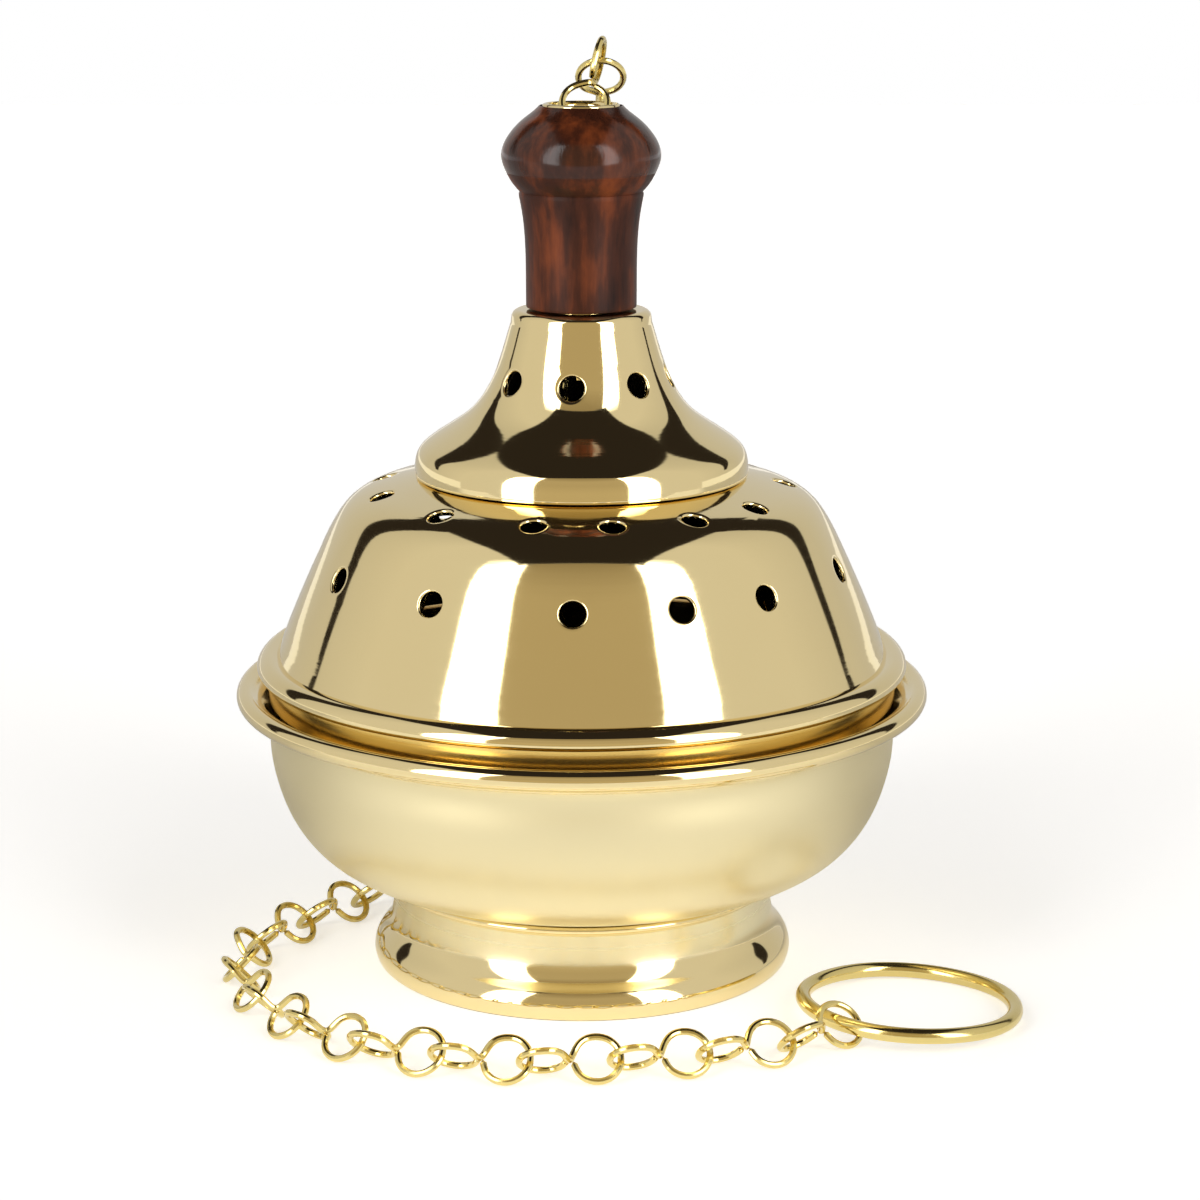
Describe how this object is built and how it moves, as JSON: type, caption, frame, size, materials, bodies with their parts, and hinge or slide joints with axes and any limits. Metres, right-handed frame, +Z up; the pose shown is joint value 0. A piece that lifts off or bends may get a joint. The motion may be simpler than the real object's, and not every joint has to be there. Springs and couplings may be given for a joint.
{
  "type": "hand censer",
  "caption": "Hand censer: footed bowl with a rolled rim, pierced domed lid with a bell top and turned wooden handle, free chain and finger ring.",
  "frame": {"origin": "centre of the foot, on the surface that the censer stands on", "axes": "+Z up the axis of the bowl, lid and handle; -Y is the front, towards which the free chain lies; +X is right as seen from the front"},
  "size_m": [0.1361, 0.1366, 0.1609],
  "materials": {
    "polished_brass": "polished, spun sheet",
    "chain_brass": "bright drawn wire",
    "varnished_wood": "turned, dark red-brown stain, gloss varnish",
    "blackened_steel": "blackened sheet, matt"
  },
  "bodies": {
    "bowl": {"foot": "polished_brass", "bowl": "polished_brass", "hanging_bow": "polished_brass", "chain_link_01": "chain_brass", "chain_link_02": "chain_brass", "chain_link_03": "chain_brass", "chain_link_04": "chain_brass", "chain_link_18": "chain_brass", "chain_link_19": "chain_brass", "chain_link_20": "chain_brass", "chain_link_21": "chain_brass", "chain_link_22": "chain_brass", "chain_link_23": "chain_brass", "chain_link_24": "chain_brass", "chain_link_25": "chain_brass", "chain_link_26": "chain_brass", "chain_link_27": "chain_brass", "chain_link_28": "chain_brass", "chain_link_29": "chain_brass", "chain_link_30": "chain_brass", "chain_link_31": "chain_brass", "chain_link_32": "chain_brass", "chain_link_33": "chain_brass"},
    "pan": {"coal_pan": "blackened_steel"},
    "chain_drape": {"chain_link_05": "chain_brass", "chain_link_06": "chain_brass", "chain_link_07": "chain_brass", "chain_link_08": "chain_brass", "chain_link_09": "chain_brass", "chain_link_10": "chain_brass", "chain_link_11": "chain_brass", "chain_link_12": "chain_brass", "chain_link_13": "chain_brass", "chain_link_14": "chain_brass", "chain_link_15": "chain_brass", "chain_link_16": "chain_brass", "chain_link_17": "chain_brass"},
    "lid": {"lid_dome": "polished_brass", "lid_seat_ring": "polished_brass", "lid_bell": "polished_brass", "tube_washer": "polished_brass", "tube_nut": "polished_brass", "chain_tube": "polished_brass", "handle": "varnished_wood"},
    "ring": {"finger_ring": "chain_brass"}
  },
  "joints": [
    {"name": "pan_lift", "type": "slide", "parent": "bowl", "child": "pan", "axis": [0, 0, 1], "range_m": [0, 0.02]},
    {"name": "lid_lift", "type": "slide", "parent": "bowl", "child": "chain_drape", "axis": [0, 0, 1], "range_m": [0, 0.04]},
    {"name": "lid_turn", "type": "hinge", "parent": "chain_drape", "child": "lid", "pos_m": [0, 0, 0.1], "axis": [0, 0, 1], "continuous": true},
    {"name": "ring_lift", "type": "hinge", "parent": "bowl", "child": "ring", "pos_m": [0.04295, -0.04645, 0.0035], "axis": [0.7293, -0.6842, 0], "range_deg": [0, 45]}
  ]
}
